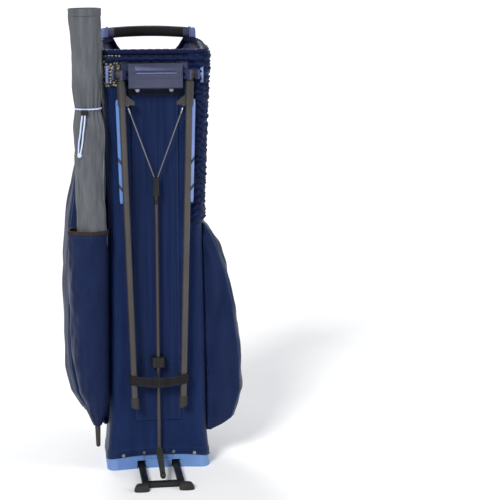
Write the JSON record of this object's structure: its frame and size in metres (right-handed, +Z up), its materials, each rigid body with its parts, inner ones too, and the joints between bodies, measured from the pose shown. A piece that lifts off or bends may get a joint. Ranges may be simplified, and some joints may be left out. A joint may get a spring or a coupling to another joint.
{
  "type": "golf stand bag",
  "caption": "Upright carry bag for golf clubs with a divided open top, lift handle, folding spring legs, side and ball pockets, shoulder webbing and a sheathed umbrella.",
  "frame": {"origin": "centre of the base's standing face, on the axis of the bag", "axes": "+Z up along the bag, -Y towards the side with the folding legs, +Y towards the side with the straps and the ball pocket, +X towards the apparel pocket"},
  "size_m": [0.351, 0.3863, 0.9256],
  "materials": {
    "base_plastic": "satin moulded plastic",
    "foam": "felt over foam",
    "shell_fabric": "fine ripstop",
    "spine_fabric": "smooth coated cloth",
    "ruched_fabric": "gathered cloth",
    "rim_fabric": "padded mesh cloth",
    "lining": "plain cloth",
    "screw_steel": "brushed",
    "frame_plastic": "brushed satin plastic",
    "housing_plastic": "gloss moulded plastic",
    "stay_rod": "pultruded glass fibre",
    "grip_plastic": "soft moulded grip",
    "black_plastic": "moulded",
    "mesh": "hexagonal mesh",
    "webbing": "woven webbing",
    "badge_rubber": "moulded rubber",
    "sheath_fabric": "plain weave",
    "cord": "braided cord",
    "zip": "zip tape and coil",
    "zip_pull": "corded pull",
    "leg_metal": "satin paint",
    "lock_webbing": "woven webbing",
    "rubber": "moulded rubber",
    "wire": "spring steel",
    "umbrella_fabric": "furled cloth",
    "umbrella_grip": "soft grip"
  },
  "bodies": {
    "bag": {"base_cup": "base_plastic", "base_pad": "foam", "body_shell": "shell_fabric", "base_screws": "screw_steel", "collar_frame": "frame_plastic", "collar_rivets": "screw_steel", "stays": "stay_rod", "handle_caps": "base_plastic", "handle_grip": "grip_plastic", "rim_pad": "rim_fabric", "divider_bars": "rim_fabric", "divider_sheets": "lining", "leg_housing": "housing_plastic", "leg_pins": "screw_steel", "rod_guide": "black_plastic", "spine_panel": "spine_fabric", "foot_pins": "screw_steel", "garment_pocket": "shell_fabric", "apparel_pocket": "shell_fabric", "ball_pocket": "shell_fabric", "valuables_pouch": "shell_fabric", "mesh_panel": "mesh", "shoulder_strap_left": "webbing", "shoulder_strap_right": "webbing", "strap_tabs": "webbing", "strap_adjusters": "base_plastic", "badge_plate": "badge_rubber", "ruched_panel_left": "ruched_fabric", "ruched_panel_right": "ruched_fabric", "umbrella_pocket": "shell_fabric", "umbrella_sheath": "sheath_fabric", "drawcord": "cord", "cord_lock": "black_plastic", "drawcord_end_long": "cord", "drawcord_end_short": "cord", "drawcord_knot": "cord", "zip_tapes": "zip", "ring_tab": "webbing"},
    "leg_left": {"leg_tube_left": "leg_metal", "leg_bracket_left": "leg_metal", "leg_tip_left": "rubber", "lock_band_left": "lock_webbing"},
    "leg_right": {"leg_tube_right": "leg_metal", "leg_bracket_right": "leg_metal", "leg_tip_right": "rubber", "lock_band_right": "lock_webbing"},
    "rod": {"push_rod": "stay_rod", "coupler": "black_plastic", "rod_boot": "rubber"},
    "foot": {"foot_frame": "black_plastic", "foot_pads": "rubber"},
    "wire_left": {"spreader_wire_left": "wire"},
    "wire_right": {"spreader_wire_right": "wire"},
    "umbrella": {"umbrella_canopy": "umbrella_fabric", "umbrella_handle": "umbrella_grip"},
    "garment_pull_upper": {"garment_zip_pull_upper": "zip_pull"},
    "garment_pull_lower": {"garment_zip_pull_lower": "zip_pull"},
    "apparel_pull": {"apparel_zip_pull": "zip_pull"},
    "ball_pull": {"ball_zip_pull": "zip_pull"},
    "ring": {"accessory_ring": "base_plastic"}
  },
  "joints": [
    {"name": "leg_left_swing", "type": "hinge", "parent": "bag", "child": "leg_left", "pos_m": [-0.066, -0.104, 0.8], "axis": [-0.8821, 0.4711, 0], "range_deg": [0, 28], "stiffness_Nm_per_rad": 0.6, "springref_deg": -20.05},
    {"name": "leg_right_swing", "type": "hinge", "parent": "bag", "child": "leg_right", "pos_m": [0.066, -0.104, 0.8], "axis": [-0.8821, -0.4711, 0], "range_deg": [0, 28], "stiffness_Nm_per_rad": 0.6, "springref_deg": -20.05},
    {"name": "rod_slide", "type": "slide", "parent": "bag", "child": "rod", "axis": [0, 0, 1], "range_m": [0, 0.01516]},
    {"name": "foot_tilt", "type": "hinge", "parent": "bag", "child": "foot", "pos_m": [0, -0.062, 0.006], "axis": [-1, 0, 0], "range_deg": [0, 7.2]},
    {"name": "wire_left_swing", "type": "hinge", "parent": "rod", "child": "wire_left", "pos_m": [-0.0034, -0.09, 0.5986], "axis": [0.8107, -0.5342, 0.2397], "range_deg": [0, 11.63]},
    {"name": "wire_right_swing", "type": "hinge", "parent": "rod", "child": "wire_right", "pos_m": [0.0034, -0.09, 0.5986], "axis": [0.8107, 0.5342, -0.2397], "range_deg": [0, 11.63]},
    {"name": "umbrella_slide", "type": "slide", "parent": "bag", "child": "umbrella", "axis": [-0.0115, -0.0149, 0.9998], "range_m": [0, 0.42]},
    {"name": "garment_zip_upper", "type": "slide", "parent": "bag", "child": "garment_pull_upper", "axis": [0, 0, 1], "range_m": [-0.057, 0]},
    {"name": "garment_zip_lower", "type": "slide", "parent": "bag", "child": "garment_pull_lower", "axis": [0, 0, 1], "range_m": [-0.471, 0]},
    {"name": "apparel_zip", "type": "slide", "parent": "bag", "child": "apparel_pull", "axis": [0, 0, 1], "range_m": [-0.279, 0]},
    {"name": "ball_zip", "type": "slide", "parent": "bag", "child": "ball_pull", "axis": [0, 0, 1], "range_m": [-0.109, 0]},
    {"name": "ring_swing", "type": "hinge", "parent": "bag", "child": "ring", "pos_m": [-0.09959, 0.05462, 0.7862], "axis": [0.4496, 0.8932, 0], "range_deg": [0, 70]}
  ],
  "couplings": [
    {"joint": "leg_right_swing", "follows": "leg_left_swing", "ratio": 1},
    {"joint": "rod_slide", "follows": "leg_left_swing", "m_per_rad": 0.031008},
    {"joint": "foot_tilt", "follows": "leg_left_swing", "ratio": 0.25694},
    {"joint": "wire_left_swing", "follows": "leg_left_swing", "ratio": 0.41533},
    {"joint": "wire_right_swing", "follows": "leg_left_swing", "ratio": 0.41533}
  ]
}
